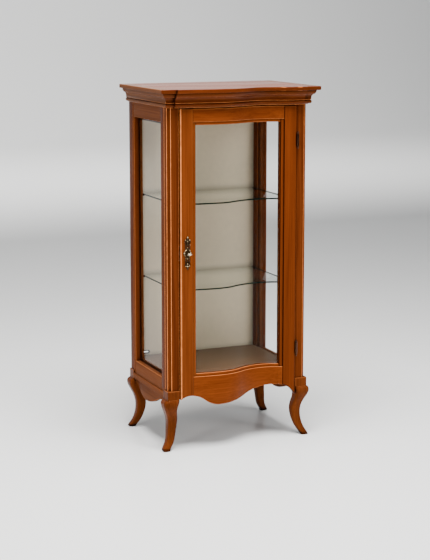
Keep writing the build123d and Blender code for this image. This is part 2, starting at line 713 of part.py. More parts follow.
# Door glass, bent to the front, and its beads
glass_out = -lip_step - lip_thickness - fit
bead_z0, bead_z1 = opening_sill - door_rebate, opening_head + door_rebate
door_glass = band(glass_out, glass_out - glass_thickness, bead_z0, bead_z1 - fit)
door_glass &= block(-rebate_x + fit, rebate_x - fit, *wide_y, 0, height)
keep("door_glass", door_glass)
bead_out = glass_out - glass_thickness - fit
bead_ring = band(bead_out, -door_thickness, bead_z0, bead_z1)
door_beads = []
for x0, x1, z0, z1 in (
        (-rebate_x, -lip_x, bead_z0, bead_z1), (lip_x, rebate_x, bead_z0, bead_z1),
        (-lip_x, lip_x, bead_z0, opening_sill), (-lip_x, lip_x, opening_head, bead_z1)):
    door_beads.append((bead_ring & block(x0, x1, *wide_y, z0, z1)).solids()[0])
keep("door_beads", Compound(children=door_beads))

# Lock case, bolt, strike and key
case = block(lock_x0, lock_x1, lock_y0, lock_y1, lock_bottom, lock_top)
case -= bolt_room(lock_x0 - over, lock_x0 + bolt_length + bolt_play)
case -= extrude(keyhole_plane * keyhole(key_radius + key_play, keyhole_slot_width), lock_wall + over)
case -= rod(keyhole_slot_length, (lock_x, lock_y0 + lock_wall, lock_z), (lock_x, bolt_y, lock_z))
keep("lock_case", case)
keep("lock_bolt", block(lock_x0 + bolt_inset, lock_x0 + bolt_length, bolt_y - bolt_thickness / 2,
                        bolt_y + bolt_thickness / 2, lock_z - bolt_height / 2, lock_z + bolt_height / 2))
strike = strike_blank(-opening_half - strike_thickness, -opening_half, 0)
keep("strike_plate", strike - bolt_room(-opening_half - strike_thickness - over, -opening_half + over))

key_tip_y = bolt_y - bolt_thickness / 2 - bolt_play
bow_y = face_y - key_reach
bow_place = Plane(origin=(lock_x, bow_y, lock_z), x_dir=(1, 0, 0), z_dir=(0, 0, 1))
bow_ring = Ellipse(key_bow_length, key_bow_depth)
bow_ring -= Ellipse(key_bow_length - key_bow_wire, key_bow_depth - key_bow_wire)
shank_y = bow_y + key_bow_depth - key_bow_wire / 2
key = extrude(bow_place * bow_ring, key_bow_wire / 2, both=True)
key += rod(key_radius, (lock_x, shank_y, lock_z), (lock_x, key_tip_y, lock_z))
key += rod(key_collar_radius, (lock_x, shank_y, lock_z), (lock_x, shank_y + key_collar_length, lock_z))
key += block(lock_x, lock_x + key_bit_reach, lock_y0 + lock_wall + key_play, key_tip_y,
             lock_z - key_bit_thickness / 2, lock_z + key_bit_thickness / 2)
keep("key", key)


# Pierced escutcheon, bent with the face of the stile and held by two pins
def oval(x, z, half_x, half_z, tilt):
    """One lobe or piercing."""
    return Pos(x, z) * Rot(0, 0, tilt) * Ellipse(half_x, half_z)


outline = oval(*plate_lobes[0])
for lobe in plate_lobes[1:]:
    outline += oval(*lobe)
for piercing in plate_piercings:
    outline -= oval(*piercing)
outline -= keyhole(keyhole_radius, keyhole_slot_width)
plate_front = plate_lift + plate_thickness
plate = band(plate_front, plate_lift, lock_z - 2 * lock_height, lock_z + 2 * lock_height)
plate &= extrude(keyhole_plane * outline, past)
head_band = band(plate_front + plate_pin_head_height, plate_front, lock_bottom, lock_top)
pins = plate_pin_rods(plate_pin_radius, face_y - past, face_y + plate_pin_length)
for pin in pins:
    plate -= pin
behind = band(plate_front, -door_thickness, lock_bottom, lock_top)
heads = plate_pin_rods(plate_pin_head_radius, face_y - past, face_y)
plate_pins = [((behind & pin) + (head_band & head)).solids()[0] for pin, head in zip(pins, heads)]
keep("escutcheon", plate)
keep("escutcheon_pins", Compound(children=plate_pins))


# Hinges: slim barrels with turned tips, each a pair of leaves on a pin
def knuckle(z, way):
    """Half of a barrel with its tip; way is -1 for the lower half and 1 for the upper half."""
    near, far = z + way * hinge_play / 2, z + way * barrel_length / 2
    points = [(0, near), (barrel_radius, near), (barrel_radius, far)]
    points += [(radius, far + way * share * finial_length) for share, radius in finial_shape]
    points += [(0, far + way * finial_length), (0, near)]
    return Pos(hinge_x, hinge_y, 0) * revolve(Plane.XZ * make_face(Polyline(*points)), axis=Axis.Z)


def hinge_leaf(x0, x1, y_end, z, way, hole_reach, screws):
    """A leaf with its half of the barrel."""
    bare_y = hinge_y + barrel_radius + hinge_play      # clear of the other leaf's half
    leaf = leaf_flat(x0, x1, bare_y, y_end, z)
    leaf += block(x0, x1, hinge_y + hinge_pin_radius + hinge_play, bare_y,
                  z + way * hinge_play / 2, z + way * barrel_length / 2)
    leaf += knuckle(z, way)
    hole_end = (hinge_x, hinge_y, z + way * hole_reach)
    leaf -= rod(hinge_pin_radius + hinge_pin_play, (hinge_x, hinge_y, z), hole_end)
    for screw in screws:
        leaf -= screw
    return leaf


hinge_pins = []
for name, z in zip(("lower", "upper"), hinge_heights):
    keep(f"hinge_leaf_post_{name}", hinge_leaf(
        opening_half, opening_half + leaf_thickness, front + leaf_on_post, z, -1, hinge_pin_reach,
        screws_post))
    keep(f"hinge_leaf_door_{name}", hinge_leaf(
        door_half - leaf_thickness, door_half, face_y + leaf_on_door, z, 1, hinge_pin_reach + over,
        screws_door))
    hinge_pins.append(rod(hinge_pin_radius, (hinge_x, hinge_y, z - hinge_pin_reach),
                          (hinge_x, hinge_y, z + hinge_pin_reach)))
keep("hinge_pins", Compound(children=hinge_pins))
keep("hinge_screws_post", Compound(children=[screw.solids()[0] for screw in screws_post]))
keep("hinge_screws_door", Compound(children=[screw.solids()[0] for screw in screws_door]))

# Rubber buffers that the closed door meets
bumpers = []
for board_z in (floor_top - floor_thickness / 2, ceiling_underside + ceiling_thickness / 2):
    buffer_band = band(
        board_offset + bumper_length, board_offset, board_z - bumper_radius, board_z + bumper_radius)
    for x in (-bumper_x, bumper_x):
        buffer = buffer_band & rod(bumper_radius, (x, wide_y[0], board_z), (x, wide_y[1], board_z))
        bumpers.append(buffer.solids()[0])
keep("door_bumpers", Compound(children=bumpers))

print("door width", 2 * door_half, "overall depth", overall_depth, "front", front, "back", back)
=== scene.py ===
# %% [markdown]
# # A serpentine display cabinet, dressed for its portrait
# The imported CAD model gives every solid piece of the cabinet: posts, legs, cornice, door, glass and lock.
# This notebook adds what a CAD model can't hold: polished cherry with its figure, old brass, clear glass
# with green edges, a floor, lights and a camera. Everything is in metres, with +Z up and the front facing -Y.

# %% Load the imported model
import json
from math import radians

import bmesh
import bpy
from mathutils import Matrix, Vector
from mathutils.bvhtree import BVHTree

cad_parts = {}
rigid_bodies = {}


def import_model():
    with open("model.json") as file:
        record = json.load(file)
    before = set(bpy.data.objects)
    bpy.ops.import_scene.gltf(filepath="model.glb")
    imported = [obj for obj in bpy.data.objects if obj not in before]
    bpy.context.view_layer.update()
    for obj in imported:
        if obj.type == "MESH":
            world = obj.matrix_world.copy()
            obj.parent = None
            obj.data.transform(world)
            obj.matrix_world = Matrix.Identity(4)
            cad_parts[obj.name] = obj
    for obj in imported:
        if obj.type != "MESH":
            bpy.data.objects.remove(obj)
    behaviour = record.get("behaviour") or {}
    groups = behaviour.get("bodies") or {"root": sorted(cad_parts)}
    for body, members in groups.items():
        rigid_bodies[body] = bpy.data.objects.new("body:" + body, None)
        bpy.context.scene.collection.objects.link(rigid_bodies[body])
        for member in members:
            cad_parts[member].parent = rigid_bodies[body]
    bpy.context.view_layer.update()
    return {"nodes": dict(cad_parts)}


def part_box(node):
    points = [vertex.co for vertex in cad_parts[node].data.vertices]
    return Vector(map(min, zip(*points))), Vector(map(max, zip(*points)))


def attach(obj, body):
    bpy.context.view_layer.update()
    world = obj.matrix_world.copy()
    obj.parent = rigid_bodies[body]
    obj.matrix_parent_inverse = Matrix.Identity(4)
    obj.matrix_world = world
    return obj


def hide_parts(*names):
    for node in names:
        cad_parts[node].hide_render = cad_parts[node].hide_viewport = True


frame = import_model()
nodes = frame["nodes"]

# %% [markdown]
# ## Camera
# The photograph looks a little down on the cabinet from its left front corner, through a long lens.
# A long lens far away keeps upright posts nearly parallel; a wide lens close by would splay the legs.
# A small vertical shift frames the cabinet without tilting the camera further.

# %% Camera
camera = bpy.data.objects.new("camera", bpy.data.cameras.new("camera"))
bpy.context.collection.objects.link(camera)
camera.location = (-2.4177, -5.4955, 1.7880)
camera.rotation_euler = (radians(90 - 9.02), 0, radians(-23.54))
camera.data.lens = 95.05
camera.data.sensor_width = 36
camera.data.shift_y = -0.08
bpy.context.scene.camera = camera
print("camera", tuple(round(v, 2) for v in camera.location))

# %% [markdown]
# ## Floor and light
# A studio sweep is one sheet that runs along the floor and curves up into a wall, so no horizon shows. It
# could be two planes with a seam, but a plane with its far edge extruded upwards and the fold bevelled is
# seamless. The main light is a big soft panel overhead; a tall panel on the left draws a bright line down
# every upright arris; the world stays dim, so that the front keeps its deep colour.

# %% Floor and light
def new_material(name):
    """A material with an empty node tree, its shader and its output."""
    material = bpy.data.materials.new(name)
    material.use_nodes = True
    tree = material.node_tree
    tree.nodes.clear()
    shader = tree.nodes.new("ShaderNodeBsdfPrincipled")
    output = tree.nodes.new("ShaderNodeOutputMaterial")
    tree.links.new(shader.outputs["BSDF"], output.inputs["Surface"])
    return material, tree, shader


def place(name, kind, **settings):
    """Add one shape of this name with an operator, with nothing else selected."""
    bpy.ops.object.select_all(action="DESELECT")
    getattr(bpy.ops.mesh, f"primitive_{kind}_add")(**settings)
    piece = bpy.context.object
    piece.name = name
    return piece


def select_where(test, kind="verts"):
    """In edit mode, select only the vertices, edges or faces that pass a test."""
    bm = bmesh.from_edit_mesh(bpy.context.edit_object.data)
    bpy.ops.mesh.select_all(action="DESELECT")
    chosen = [part for part in getattr(bm, kind) if test(part)]
    for part in chosen:
        part.select = True
    bm.select_flush_mode()
    bmesh.update_edit_mesh(bpy.context.edit_object.data)
    return len(chosen)


sweep_size, sweep_fold, sweep_rise = 34, 5.0, 12
floor = place("studio_sweep", "plane", size=sweep_size)
bpy.ops.object.mode_set(mode="EDIT")
bpy.ops.mesh.select_mode(type="VERT")
select_where(lambda v: v.co.y > 0)
bpy.ops.mesh.extrude_region_move(TRANSFORM_OT_translate={"value": (0, 0, sweep_rise)})
bpy.ops.mesh.select_mode(type="EDGE")
select_where(lambda e: all(v.co.y > 0 and abs(v.co.z) < 0.01 for v in e.verts), "edges")
bpy.ops.mesh.bevel(offset=sweep_fold, segments=24, affect="EDGES")
bpy.ops.object.mode_set(mode="OBJECT")
bpy.ops.object.shade_smooth()
sweep_paint, tree, shader = new_material("sealed_floor")
shader.inputs["Base Color"].default_value = (0.82, 0.815, 0.80, 1)
shader.inputs["Roughness"].default_value = 0.32
floor.data.materials.append(sweep_paint)


def panel(name, location, turn, size, power):
    """A soft rectangular light."""
    data = bpy.data.lights.new(name, "AREA")
    data.shape, (data.size, data.size_y) = "RECTANGLE", size
    data.energy = power
    lamp = bpy.data.objects.new(name, data)
    bpy.context.collection.objects.link(lamp)
    lamp.location = location
    lamp.rotation_euler = tuple(radians(a) for a in turn)


panel("overhead", (-0.4, -1.2, 4.6), (0, 0, 0), (2.6, 2.6), 720)
panel("front_right", (2.8, -4.2, 2.8), (62, 0, 34), (1.4, 1.8), 85)
panel("tall_left", (-4.2, -2.6, 1.7), (86, 0, -60), (0.45, 3.0), 62)
panel("wall_wash", (0, 7, 4.6), (68, 0, 0), (14, 3), 1500)
world = bpy.data.worlds.new("hall")
world.use_nodes = True
world.node_tree.nodes["Background"].inputs["Color"].default_value = (0.90, 0.95, 1.0, 1)
world.node_tree.nodes["Background"].inputs["Strength"].default_value = 0.28
bpy.context.scene.world = world

# %% [markdown]
# ## Polished cherry
# Stained cherry has three scales of detail: broad figure that runs the length of a board, fine streaks,
# and pores as thin dark dashes. All three are noise, stretched along the grain. They are built once as a
# node group that puts out a colour, a roughness and a height, so that each board only turns the pattern.
# A second group paints a highlight onto the arrises, which the mesh marks with an attribute, and paints
# shade into the hollows, which ambient occlusion finds, and onto faces the attribute marks as shaded. The
# varnish is amber, so the shader's specular tint is amber too. The boards differ in tone: the paler, greyer
# side boards carry a painted sheen of the glancing light on the sides, the right door stile has a darker copy
# of the same wood, and the posts and the cornice are darker too. The sides have less gloss, since a strong
# one would turn them grey.

# %% Wood figure as a node group
def group(name, inputs, outputs):
    """An empty shader node group with its sockets."""
    tree = bpy.data.node_groups.new(name, "ShaderNodeTree")
    for socket, kind, value in inputs:
        made = tree.interface.new_socket(socket, in_out="INPUT", socket_type=kind)
        if value is not None:
            made.default_value = value
    for socket, kind in outputs:
        tree.interface.new_socket(socket, in_out="OUTPUT", socket_type=kind)
    return tree, tree.nodes.new("NodeGroupInput"), tree.nodes.new("NodeGroupOutput")


def noise(tree, vector, scale, detail=3.0, rough=0.5, distortion=0.0):
    """A noise texture fed by a vector."""
    node = tree.nodes.new("ShaderNodeTexNoise")
    node.inputs["Scale"].default_value = scale
    node.inputs["Detail"].default_value = detail
    node.inputs["Roughness"].default_value = rough
    node.inputs["Distortion"].default_value = distortion
    tree.links.new(vector, node.inputs["Vector"])
    return node.outputs["Fac"]


def stretch(tree, vector, scale):
    """The vector scaled along each axis."""
    node = tree.nodes.new("ShaderNodeVectorMath")
    node.operation = "MULTIPLY"
    node.inputs[1].default_value = scale
    tree.links.new(vector, node.inputs[0])
    return node.outputs["Vector"]


def span(tree, value, low, high, to_low=0.0, to_high=1.0):
    """Map a value from one range to another, clamped."""
    node = tree.nodes.new("ShaderNodeMapRange")
    for socket, v in (("From Min", low), ("From Max", high), ("To Min", to_low), ("To Max", to_high)):
        node.inputs[socket].default_value = v
    tree.links.new(value, node.inputs["Value"])
    return node.outputs["Result"]


def blend_colour(tree, amount, first, second):
    """Mix two colours, each a socket or a tuple, by a socket or a number."""
    node = tree.nodes.new("ShaderNodeMix")
    node.data_type = "RGBA"
    for socket, value in ((0, amount), (6, first), (7, second)):
        if isinstance(value, (float, int, tuple)):
            node.inputs[socket].default_value = value
        else:
            tree.links.new(value, node.inputs[socket])
    return node.outputs[2]


def combine(tree, operation, first, second):
    """Arithmetic on two values, each a socket or a number."""
    node = tree.nodes.new("ShaderNodeMath")
    node.operation = operation
    for i, value in enumerate((first, second)):
        if isinstance(value, (float, int)):
            node.inputs[i].default_value = value
        else:
            tree.links.new(value, node.inputs[i])
    return node.outputs["Value"]


figure, given, puts = group(
    "wood_figure",
    (("Vector", "NodeSocketVector", None), ("Light", "NodeSocketColor", (0.42, 0.15, 0.035, 1)),
     ("Dark", "NodeSocketColor", (0.17, 0.045, 0.012, 1)), ("Gloss", "NodeSocketFloat", 0.22)),
    (("Color", "NodeSocketColor"), ("Roughness", "NodeSocketFloat"), ("Height", "NodeSocketFloat")))
along = given.outputs["Vector"]
broad = span(figure, noise(figure, stretch(figure, along, (24, 24, 1.1)), 1.0, 4, 0.55, 0.8), 0.32, 0.68)
patch = span(figure, noise(figure, stretch(figure, along, (9, 9, 1.2)), 1.0, 2, 0.5, 0.4), 0.32, 0.68)
streak = span(figure, noise(figure, stretch(figure, along, (190, 190, 3)), 1.0, 3, 0.6), 0.3, 0.7)
pore = span(figure, noise(figure, stretch(figure, along, (900, 900, 26)), 1.0, 2, 0.5), 0.60, 0.72)
broad_share, streak_share, patch_share, pore_share = 0.38, 0.36, 0.26, 0.45
pore_roughness, patch_roughness = 0.14, 0.10
tone = combine(figure, "ADD", combine(figure, "MULTIPLY", broad, broad_share),
               combine(figure, "MULTIPLY", streak, streak_share))
tone = combine(figure, "ADD", tone, combine(figure, "MULTIPLY", patch, patch_share))
colour = blend_colour(figure, tone, given.outputs["Dark"], given.outputs["Light"])
colour = blend_colour(figure, combine(figure, "MULTIPLY", pore, pore_share), colour, given.outputs["Dark"])
figure.links.new(colour, puts.inputs["Color"])
uneven = combine(figure, "MULTIPLY", combine(figure, "SUBTRACT", patch, 0.5), patch_roughness)
rough = combine(figure, "ADD", given.outputs["Gloss"], combine(figure, "MULTIPLY", pore, pore_roughness))
figure.links.new(combine(figure, "ADD", rough, uneven), puts.inputs["Roughness"])
figure.links.new(combine(figure, "SUBTRACT", 1.0, pore), puts.inputs["Height"])

# This group paints light and shade into the colour: a painted highlight where the arris attribute is above 0,
# painted shade where it is below 0, and painted shade in the hollows that ambient occlusion finds.
painted_light, given, puts = group(
    "arris_wear",
    (("Color", "NodeSocketColor", (0.4, 0.1, 0.02, 1)), ("Rubbed", "NodeSocketColor", (0.8, 0.3, 0.08, 1)),
     ("Hollow", "NodeSocketColor", (0.05, 0.012, 0.004, 1)), ("Amount", "NodeSocketFloat", 0.6),
     ("Depth", "NodeSocketFloat", 0.018), ("Gain", "NodeSocketFloat", 1.0)),
    (("Color", "NodeSocketColor"),))
# The attribute's positive part, broken into patches, is the painted highlight's mask; its negative part is
# the painted shade's.
marked = painted_light.nodes.new("ShaderNodeAttribute")
marked.attribute_name = "arris"
spot = painted_light.nodes.new("ShaderNodeTexCoord").outputs["Object"]
broken = span(painted_light, noise(painted_light, spot, 55, 4, 0.6), 0.30, 0.62, 0.6, 1.0)
arris = combine(painted_light, "MULTIPLY", span(painted_light, marked.outputs["Fac"], 0.0, 1.0), broken)
shaded = span(painted_light, marked.outputs["Fac"], 0.0, -1.0)
# Ambient occlusion finds the hollows and gaps, which get painted shade.
openness = painted_light.nodes.new("ShaderNodeAmbientOcclusion")
openness.samples = 6
shade_share = 0.9
painted_light.links.new(given.outputs["Depth"], openness.inputs["Distance"])
hollow = span(painted_light, openness.outputs["AO"], 0.85, 0.25)
hollow = span(painted_light, combine(painted_light, "MULTIPLY", hollow, given.outputs["Gain"]), 0.0, 1.0)
colour = blend_colour(painted_light, combine(painted_light, "MULTIPLY", hollow, shade_share), given.outputs["Color"],
                      given.outputs["Hollow"])
colour = blend_colour(painted_light, shaded, colour, given.outputs["Hollow"])
colour = blend_colour(painted_light, combine(painted_light, "MULTIPLY", arris, given.outputs["Amount"]), colour,
                      given.outputs["Rubbed"])
painted_light.links.new(colour, puts.inputs["Color"])


def use_group(tree, kind, **values):
    """Place a node group in a material and set its plain inputs."""
    node = tree.nodes.new("ShaderNodeGroup")
    node.node_tree = kind
    for socket, value in values.items():
        node.inputs[socket].default_value = (*value, 1) if isinstance(value, tuple) else value
    return node


grain_relief, grain_depth = 0.12, 0.0004


# Beside the grain's light and dark, the wood takes a painted highlight colour for its marked arrises and a
# painted shade colour for its hollows and shaded faces, with how far and how strongly the shade is painted.
def wood(name, turn=(0, 0, 0), light=(0.205, 0.046, 0.0075), dark=(0.072, 0.0125, 0.0024), gloss=0.2,
         rubbed=(0.85, 0.26, 0.07), hollow=(0.012, 0.0025, 0.0008), highlight_share=0.9,
         tint=(1, 0.36, 0.10), specular=0.12, depth=0.018, gain=1.0):
    """A polished wood whose grain runs along Z before it is turned."""
    material, tree, shader = new_material(name)
    place_on = tree.nodes.new("ShaderNodeTexCoord")
    mapping = tree.nodes.new("ShaderNodeMapping")
    mapping.inputs["Rotation"].default_value = tuple(radians(a) for a in turn)
    tree.links.new(place_on.outputs["Object"], mapping.inputs["Vector"])
    grain = use_group(tree, figure, Light=light, Dark=dark, Gloss=gloss)
    tree.links.new(mapping.outputs["Vector"], grain.inputs["Vector"])
    edges = use_group(tree, painted_light, Rubbed=rubbed, Hollow=hollow, Amount=highlight_share, Depth=depth, Gain=gain)
    tree.links.new(grain.outputs["Color"], edges.inputs["Color"])
    relief = tree.nodes.new("ShaderNodeBump")
    relief.inputs["Strength"].default_value = grain_relief
    relief.inputs["Distance"].default_value = grain_depth
    tree.links.new(grain.outputs["Height"], relief.inputs["Height"])
    tree.links.new(edges.outputs["Color"], shader.inputs["Base Color"])
    tree.links.new(grain.outputs["Roughness"], shader.inputs["Roughness"])
    tree.links.new(relief.outputs["Normal"], shader.inputs["Normal"])
    shader.inputs["Specular Tint"].default_value = (*tint, 1)
    shader.inputs["Specular IOR Level"].default_value = specular
    return material


upright = wood("cherry_upright", light=(0.192, 0.043, 0.007), dark=(0.067, 0.0117, 0.0022), specular=0.08)
upright_dark = wood("cherry_upright_dark", light=(0.140, 0.028, 0.0045), dark=(0.050, 0.0085, 0.0016),
                    specular=0.06)
post_wood = wood("cherry_post", light=(0.145, 0.032, 0.0065), dark=(0.048, 0.0088, 0.0021),
                 rubbed=(0.72, 0.22, 0.06), specular=0.01)
# The cornice's mouldings get deep, strong painted shade in their hollows.
moulded = wood("cherry_moulded", turn=(0, 90, 0), light=(0.118, 0.024, 0.0046), dark=(0.038, 0.006, 0.0013),
               hollow=(0.004, 0.0008, 0.0003), specular=0.16, depth=0.06, gain=2.4)
across = wood("cherry_across", turn=(0, 90, 0), light=(0.190, 0.040, 0.0062), dark=(0.066, 0.011, 0.002),
              specular=0.08)
# The legs get strong painted shade in their hollows too.
leg_wood = wood("cherry_leg", light=(0.158, 0.038, 0.0080), dark=(0.034, 0.0062, 0.0016), highlight_share=0.7,
                hollow=(0.006, 0.0014, 0.0005), specular=0.04, depth=0.03, gain=2.0)
# The front-to-back boards and the side mouldings have a paler, greyer colour: a painted sheen of the glancing
# light on the cabinet's sides.
deep = wood("cherry_front_to_back", turn=(90, 0, 0), light=(0.178, 0.054, 0.017), dark=(0.062, 0.017, 0.0055),
            specular=0.005)
side_moulded = wood("cherry_side_moulded", turn=(90, 0, 0), light=(0.185, 0.064, 0.022),
                    dark=(0.068, 0.021, 0.008), specular=0.012, depth=0.03, gain=1.2)
inside = wood("stained_inside", turn=(0, 90, 0), light=(0.115, 0.060, 0.031), dark=(0.055, 0.028, 0.0135),
              gloss=0.36, rubbed=(0.2, 0.12, 0.07), hollow=(0.02, 0.010, 0.005), tint=(1, 0.8, 0.6),
              specular=0.025)
woods = (upright, upright_dark, post_wood, moulded, across, leg_wood, deep, side_moulded, inside)
print("woods", [m.name for m in woods])

# %% [markdown]
# ## Painted back, glass, brass and the small parts
# The back panel is painted a pale greige. The panes are thin clear glass; the shelves are thicker float
# glass, whose edges look green because light travels through them lengthways. The lock plate and the key
# are antiqued brass, with painted shade in their hollows and a painted highlight on their edges, as are the
# hinges.

# %% Paint, glass and metal
def plain(name, colour, rough, metal=0.0, speck=0.06, scale=120.0, bump=0.05, highlight_share=0.0,
          depth=0.004, specular=0.5, shine=None):
    """A finish with a little mottling of its colour and roughness, with a painted highlight, where asked for,
    on its marked arrises and painted shade in its hollows.
    """
    material, tree, shader = new_material(name)
    place_on = tree.nodes.new("ShaderNodeTexCoord")
    mottle = noise(tree, place_on.outputs["Object"], scale, 4, 0.6)
    dark = tuple(c * (1 - 2.5 * speck) for c in colour) + (1,)
    # The bright colour is a painted highlight for the marked arrises; the dark one below it is painted shade
    # for the hollows.
    bright = shine or tuple(min(1.0, 1.9 * c) for c in colour)
    shade_colour = tuple(0.12 * c for c in colour)
    edges = use_group(tree, painted_light, Rubbed=bright, Hollow=shade_colour, Amount=highlight_share, Depth=depth)
    shader.inputs["Specular IOR Level"].default_value = specular
    mottled = blend_colour(tree, span(tree, mottle, 0.3, 0.7), dark, colour + (1,))
    tree.links.new(mottled, edges.inputs["Color"])
    tree.links.new(edges.outputs["Color"], shader.inputs["Base Color"])
    tree.links.new(span(tree, mottle, 0.3, 0.7, rough + speck, rough - speck), shader.inputs["Roughness"])
    shader.inputs["Metallic"].default_value = metal
    relief = tree.nodes.new("ShaderNodeBump")
    relief.inputs["Strength"].default_value = bump
    relief.inputs["Distance"].default_value = 0.0003
    tree.links.new(mottle, relief.inputs["Height"])
    tree.links.new(relief.outputs["Normal"], shader.inputs["Normal"])
    return material


def glass(name, colour, refract, polish=0.0):
    """Clear glass with a faint tint, which lets lamps and bounced light straight through."""
    passes = 0.96
    material, tree, shader = new_material(name)
    shader.inputs["Base Color"].default_value = (*colour, 1)
    shader.inputs["Roughness"].default_value = 0.0
    shader.inputs["Transmission Weight"].default_value = 1.0
    shader.inputs["IOR"].default_value = refract
    shader.inputs["Coat Weight"].default_value = polish
    shader.inputs["Coat Roughness"].default_value = 0.02
    output = next(node for node in tree.nodes if node.type == "OUTPUT_MATERIAL")
    open_pane = tree.nodes.new("ShaderNodeBsdfTransparent")
    open_pane.inputs["Color"].default_value = (*(c * passes for c in colour), 1)
    ray = tree.nodes.new("ShaderNodeLightPath")
    pass_on = tree.nodes.new("ShaderNodeMixShader")
    tree.links.new(combine(tree, "MAXIMUM", ray.outputs["Is Shadow Ray"], ray.outputs["Is Diffuse Ray"]),
                   pass_on.inputs["Fac"])
    tree.links.new(shader.outputs["BSDF"], pass_on.inputs[1])
    tree.links.new(open_pane.outputs["BSDF"], pass_on.inputs[2])
    tree.links.new(pass_on.outputs["Shader"], output.inputs["Surface"])
    return material


lining = plain("painted_back", (0.66, 0.52, 0.37), 0.55, speck=0.03, scale=60, depth=0.03)
pane_glass = glass("pane_glass", (0.97, 0.98, 0.97), refract=1.12)
shelf_glass = glass("shelf_glass", (0.95, 0.985, 0.97), refract=1.0, polish=0.35)
shelf_edge = plain("shelf_edge", (0.0015, 0.008, 0.006), 0.3, speck=0.05, scale=200, bump=0.02, specular=0.0)
# The brass finishes' bright colours are painted highlights on their marked edges and raised parts.
old_brass = plain("antique_brass", (0.040, 0.024, 0.011), 0.30, metal=1.0, speck=0.2, scale=420, highlight_share=1.0,
                  shine=(0.92, 0.66, 0.36))
hinge_brass = plain("hinge_brass", (0.06, 0.027, 0.015), 0.26, metal=1.0, speck=0.06, scale=300, highlight_share=0.9,
                    shine=(0.8, 0.42, 0.26))
key_brass = plain("key_brass", (0.74, 0.60, 0.38), 0.20, metal=1.0, speck=0.05, scale=300, highlight_share=0.4)
steel = plain("lock_steel", (0.45, 0.45, 0.44), 0.35, metal=1.0)
felt = plain("glide_felt", (0.10, 0.07, 0.05), 0.95, speck=0.04, scale=900, bump=0.5)
rubber = plain("buffer_rubber", (0.25, 0.23, 0.21), 0.6)
plastic = plain("grommet_plastic", (0.03, 0.026, 0.022), 0.45)

# %% [markdown]
# ## Eased arrises
# No cabinet maker leaves a knife edge: a plane stroke and sandpaper ease every arris, and the polish then
# catches the light along it. The CAD solids have true edges. A bump would only fake the roundness, so each
# wooden piece is copied, its triangles are merged, its long outer edges are chosen by angle and bevelled,
# and the copy stands in for the CAD piece on the same body.

# %% Ease the arrises
def body_of(name):
    """The CAD body that carries a node."""
    return nodes[name].parent.name.split(":")[-1]


def copied(name, suffix):
    """A merged copy of a CAD piece, ready to be shaped, in edit mode."""
    source = nodes[name]
    piece = bpy.data.objects.new(f"{name}_{suffix}", source.data.copy())
    bpy.context.collection.objects.link(piece)
    piece.data.transform(source.matrix_world)
    bpy.ops.object.select_all(action="DESELECT")
    piece.select_set(True)
    bpy.context.view_layer.objects.active = piece
    if piece.data.has_custom_normals:
        bpy.ops.mesh.customdata_custom_splitnormals_clear()
    bpy.ops.object.mode_set(mode="EDIT")
    bpy.ops.mesh.select_mode(type="EDGE")
    bpy.ops.mesh.select_all(action="SELECT")
    bpy.ops.mesh.remove_doubles(threshold=0.00001)
    bpy.ops.mesh.dissolve_limited(angle_limit=radians(0.4))  # the triangles of one flat face become one face
    return piece


def dressed(piece, name, material):
    """Give a shaped piece its finish, its shading and the CAD piece's place on its body."""
    bpy.ops.object.mode_set(mode="OBJECT")
    bpy.ops.object.shade_smooth_by_angle(angle=radians(38))
    piece.data.materials.clear()
    piece.data.materials.append(material)
    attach(piece, body_of(name))
    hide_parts(name)


leans, squarely = 0.3, 0.9  # how far a unit normal points one way
toe_height = 0.011
# Below 0 the attribute holds painted shade, for shaded faces and, as a painted contact shadow, a leg's toe;
# above 0 a painted highlight, weaker on faces that look down.
in_shadow, toe_shade, from_below, round_highlight = -1.0, -0.65, 0.25, 0.8  # what the attribute "arris" holds


def mark_arrises(highlight=1.0, rounds=False, shaded=()):
    """Mark how strong a painted highlight each face gets, above 0, or how much painted shade, below 0.

    A bevel's faces, which it leaves selected, get a painted highlight, weaker on those that look down; those
    turned one of the shaded ways get painted shade, and so does a leg's toe, as a painted contact shadow.
    With rounds, the rounded left edge of a piece gets a painted highlight too, up to its part that faces
    squarely into the gap beside it, which gets painted shade.
    """
    bm = bmesh.from_edit_mesh(bpy.context.edit_object.data)
    mark = bm.faces.layers.float.new("arris")
    for face in bm.faces:
        normal = face.normal
        facing = sorted(abs(part) for part in normal)
        on_round = rounds and facing[0] < 0.05 and facing[1] > leans and normal.y < -leans and normal.x < -0.2
        below = from_below if normal.z < -leans else 1.0
        turned_away = face.select and any(normal.dot(Vector(way)) > leans for way in shaded)
        face[mark] = round_highlight if on_round else highlight * below if face.select else 0.0
        if turned_away or (on_round and normal.x < -squarely):
            face[mark] = in_shadow
        # A leg's toe, by the floor, gets painted shade that stands for its contact shadow.
        elif face.calc_center_median().z < toe_height:
            face[mark] = toe_shade
    bmesh.update_edit_mesh(bpy.context.edit_object.data)


trees = {}
for name, node in nodes.items():
    corners = [node.matrix_world @ v.co for v in node.data.vertices]
    trees[name] = BVHTree.FromPolygons(corners, [tuple(f.vertices) for f in node.data.polygons])


box_gap, touching, probe_in, probe_out, level_rise = 0.002, 0.0003, 0.0008, 0.0001, 0.0002


def rise(edge):
    """How much higher one end of an edge is than the other."""
    return abs(edge.verts[0].co.z - edge.verts[1].co.z)


